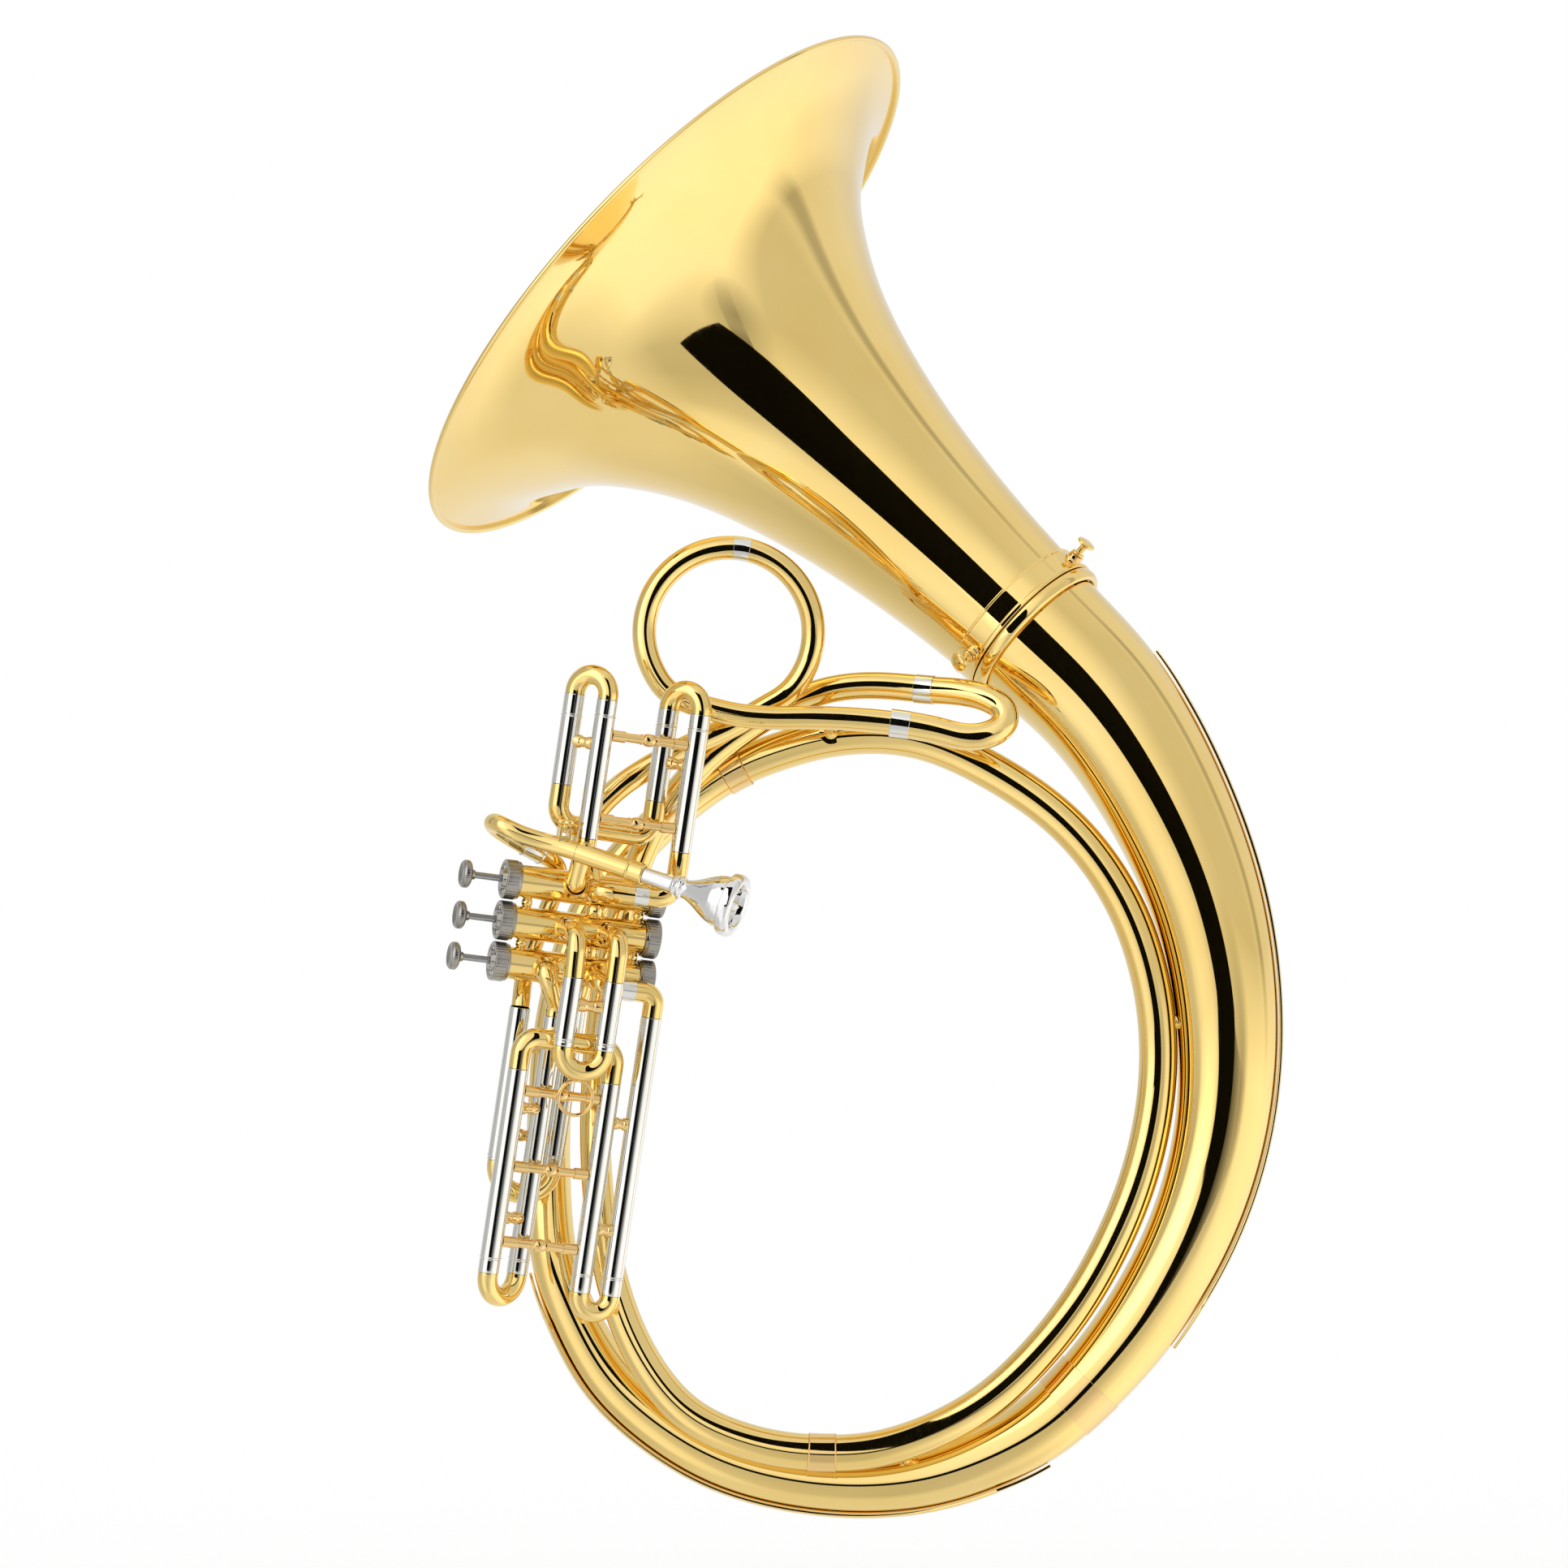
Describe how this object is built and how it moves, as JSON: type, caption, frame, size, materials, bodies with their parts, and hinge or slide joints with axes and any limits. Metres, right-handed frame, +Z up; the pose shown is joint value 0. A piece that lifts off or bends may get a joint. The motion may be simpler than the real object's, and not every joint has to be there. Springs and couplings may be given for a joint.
{
  "type": "marching horn",
  "caption": "Round-bodied valved brass horn worn over the shoulder, with a large upward bell, three piston valves with tuning slides, a small coil and a deep cup mouthpiece.",
  "frame": {"origin": "underside of the inner loop's crown, where the horn rests on the shoulder", "axes": "+Z up along the height of the horn, -Y towards the viewer of the front, +X to the viewer's right"},
  "size_m": [0.5281, 0.4386, 0.9163],
  "materials": {
    "lacquered_brass": "clear lacquer over polished yellow brass",
    "nickel_silver": "polished nickel silver",
    "dark_nickel": "nickel plate, slightly dark",
    "silver_plate": "bright silver plate",
    "piston_metal": "fine turned, oiled",
    "spring_steel": "bright wire"
  },
  "bodies": {
    "horn": {"bow_ring": "lacquered_brass", "outer_bow_upper": "lacquered_brass", "outer_bow_ferrule": "lacquered_brass", "outer_bow_lower": "lacquered_brass", "bow_guard_upper": "lacquered_brass", "bow_guard_lower": "lacquered_brass", "loop_ferrule_top": "lacquered_brass", "inner_loop_upper": "lacquered_brass", "loop_ferrule_bottom": "lacquered_brass", "inner_loop_lower": "lacquered_brass", "crook": "lacquered_brass", "coil_front": "lacquered_brass", "coil_rear": "lacquered_brass", "slide_1_link": "lacquered_brass", "slide_1_elbow": "lacquered_brass", "slide_3_arc": "lacquered_brass", "slide_3_elbow": "lacquered_brass", "leadpipe": "lacquered_brass", "valve_casing_1": "lacquered_brass", "valve_casing_2": "lacquered_brass", "valve_casing_3": "lacquered_brass", "finger_ring": "lacquered_brass", "receiver": "lacquered_brass", "crook_ferrule_rear": "nickel_silver", "crook_ferrule_front": "nickel_silver", "coil_ferrule": "nickel_silver", "slide_1_left_legs": "nickel_silver", "slide_1_right_legs": "nickel_silver", "slide_2_legs": "nickel_silver", "slide_3_left_legs": "nickel_silver", "slide_3_right_legs": "nickel_silver", "tuning_legs": "nickel_silver", "top_cap_1": "dark_nickel", "top_cap_2": "dark_nickel", "top_cap_3": "dark_nickel", "bottom_cap_1": "dark_nickel", "bottom_cap_2": "dark_nickel", "bottom_cap_3": "dark_nickel", "valve_spring_1": "spring_steel", "valve_spring_2": "spring_steel", "valve_spring_3": "spring_steel"},
    "piston_1": {"piston_1": "piston_metal", "button_1": "dark_nickel"},
    "piston_2": {"piston_2": "piston_metal", "button_2": "dark_nickel"},
    "piston_3": {"piston_3": "piston_metal", "button_3": "dark_nickel"},
    "slide_1_left_bow": {"slide_1_left_bow": "lacquered_brass"},
    "slide_1_right_bow": {"slide_1_right_bow": "lacquered_brass"},
    "slide_2_bow": {"slide_2_bow": "lacquered_brass"},
    "slide_3_left_bow": {"slide_3_left_bow": "lacquered_brass"},
    "slide_3_right_bow": {"slide_3_right_bow": "lacquered_brass"},
    "tuning_bow": {"tuning_bow": "lacquered_brass"},
    "mouthpiece": {"mouthpiece": "silver_plate"},
    "lyre_screw": {"lyre_screw": "lacquered_brass"},
    "bell": {"bell": "lacquered_brass", "bell_ring": "lacquered_brass"},
    "collar_screw_1": {"collar_screw_1": "lacquered_brass"},
    "collar_screw_2": {"collar_screw_2": "lacquered_brass"},
    "collar_screw_3": {"collar_screw_3": "lacquered_brass"}
  },
  "joints": [
    {"name": "valve_1", "type": "slide", "parent": "horn", "child": "piston_1", "axis": [0.953, 0.276, -0.1253], "range_m": [0, 0.015], "stiffness_N_per_m": 250, "springref_m": -0.008, "deforming": ["valve_spring_1"]},
    {"name": "valve_2", "type": "slide", "parent": "horn", "child": "piston_2", "axis": [0.953, 0.276, -0.1253], "range_m": [0, 0.015], "stiffness_N_per_m": 250, "springref_m": -0.008, "deforming": ["valve_spring_2"]},
    {"name": "valve_3", "type": "slide", "parent": "horn", "child": "piston_3", "axis": [0.953, 0.276, -0.1253], "range_m": [0, 0.015], "stiffness_N_per_m": 250, "springref_m": -0.008, "deforming": ["valve_spring_3"]},
    {"name": "slide_1_left", "type": "slide", "parent": "horn", "child": "slide_1_left_bow", "axis": [0.1474, -0.0607, 0.9872], "range_m": [0, 0.024]},
    {"name": "slide_1_right", "type": "slide", "parent": "horn", "child": "slide_1_right_bow", "axis": [0.1474, -0.0607, 0.9872], "range_m": [0, 0.024]},
    {"name": "slide_2", "type": "slide", "parent": "horn", "child": "slide_2_bow", "axis": [-0.1474, 0.0607, -0.9872], "range_m": [0, 0.022]},
    {"name": "slide_3_left", "type": "slide", "parent": "horn", "child": "slide_3_left_bow", "axis": [-0.1474, 0.0607, -0.9872], "range_m": [0, 0.06]},
    {"name": "slide_3_right", "type": "slide", "parent": "horn", "child": "slide_3_right_bow", "axis": [-0.1474, 0.0607, -0.9872], "range_m": [0, 0.06]},
    {"name": "tuning_slide", "type": "slide", "parent": "horn", "child": "tuning_bow", "axis": [-0.1474, 0.0607, -0.9872], "range_m": [0, 0.06]},
    {"name": "mouthpiece_pull", "type": "slide", "parent": "horn", "child": "mouthpiece", "axis": [0.9095, -0.2761, -0.3109], "range_m": [0, 0.022]},
    {"name": "bell_turn", "type": "hinge", "parent": "horn", "child": "bell", "pos_m": [0.10223, 0.0221, 0.07368], "axis": [-0.6978, 0.2672, 0.6645], "continuous": true},
    {"name": "collar_screw_1_turn", "type": "hinge", "parent": "bell", "child": "collar_screw_1", "pos_m": [0.12961, 0.00857, 0.12684], "axis": [0.6029, -0.2817, 0.7464], "continuous": true},
    {"name": "collar_screw_2_turn", "type": "hinge", "parent": "bell", "child": "collar_screw_2", "pos_m": [0.05526, -0.01396, 0.05782], "axis": [-0.6363, -0.6572, -0.4039], "continuous": true},
    {"name": "collar_screw_3_turn", "type": "hinge", "parent": "bell", "child": "collar_screw_3", "pos_m": [0.09544, 0.08181, 0.0615], "axis": [0.0334, 0.9389, -0.3425], "continuous": true},
    {"name": "lyre_screw_turn", "type": "hinge", "parent": "horn", "child": "lyre_screw", "pos_m": [-0.18774, -0.08044, -0.04491], "axis": [0.1474, -0.0607, 0.9872], "continuous": true}
  ]
}
